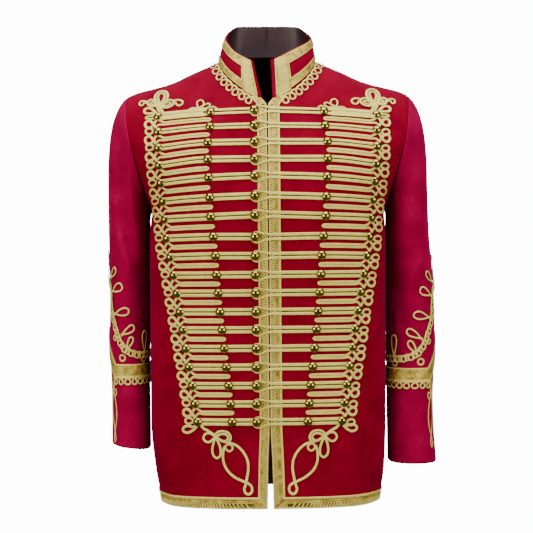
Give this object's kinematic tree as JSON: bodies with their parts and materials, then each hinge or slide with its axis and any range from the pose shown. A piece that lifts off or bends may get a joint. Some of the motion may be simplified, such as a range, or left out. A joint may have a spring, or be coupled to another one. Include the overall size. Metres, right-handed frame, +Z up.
{
  "type": "hussar jacket",
  "caption": "Short fitted hussar jacket in its worn, hollow form: wool walls, stand collar, rows of raised braid with domed buttons, lace edging and pointed cuff braid.",
  "frame": {"origin": "midway between the two points where the collar meets the shoulder seams, where the wearer's shoulders carry the jacket", "axes": "+Z up, -Y towards the front, +X towards the wearer's left"},
  "size_m": [0.5557, 0.2689, 0.8012],
  "materials": {
    "wool": "matt napped broadcloth",
    "soutache": "soft metallic sheen",
    "lace": "woven twill with a metallic sheen"
  },
  "bodies": {
    "root": {"front_right": "wool", "front_left": "wool", "back": "wool", "sleeve_right": "wool", "sleeve_left": "wool", "collar": "wool", "collar_lace": "lace", "front_lace_right": "lace", "front_lace_left": "lace", "hem_lace_back": "lace", "cuff_braid_right": "lace", "cuff_braid_left": "lace", "neck_loops_right": "soutache", "neck_loops_left": "soutache", "frog_edge_right": "soutache", "frog_edge_left": "soutache", "shoulder_knot_right": "soutache", "shoulder_knot_left": "soutache", "chest_knot_right": "soutache", "chest_knot_left": "soutache", "skirt_knot_right": "soutache", "skirt_knot_left": "soutache", "frog_right_01": "soutache", "frog_right_02": "soutache", "frog_right_03": "soutache", "frog_right_04": "soutache", "frog_right_05": "soutache", "frog_right_06": "soutache", "frog_right_07": "soutache", "frog_right_08": "soutache", "frog_right_09": "soutache", "frog_right_10": "soutache", "frog_right_11": "soutache", "frog_right_12": "soutache", "frog_right_13": "soutache", "frog_right_14": "soutache", "frog_right_15": "soutache", "frog_right_16": "soutache", "frog_right_17": "soutache", "frog_right_18": "soutache", "frog_left_01": "soutache", "frog_left_02": "soutache", "frog_left_03": "soutache", "frog_left_04": "soutache", "frog_left_05": "soutache", "frog_left_06": "soutache", "frog_left_07": "soutache", "frog_left_08": "soutache", "frog_left_09": "soutache", "frog_left_10": "soutache", "frog_left_11": "soutache", "frog_left_12": "soutache", "frog_left_13": "soutache", "frog_left_14": "soutache", "frog_left_15": "soutache", "frog_left_16": "soutache", "frog_left_17": "soutache", "frog_left_18": "soutache"}
  },
  "joints": []
}
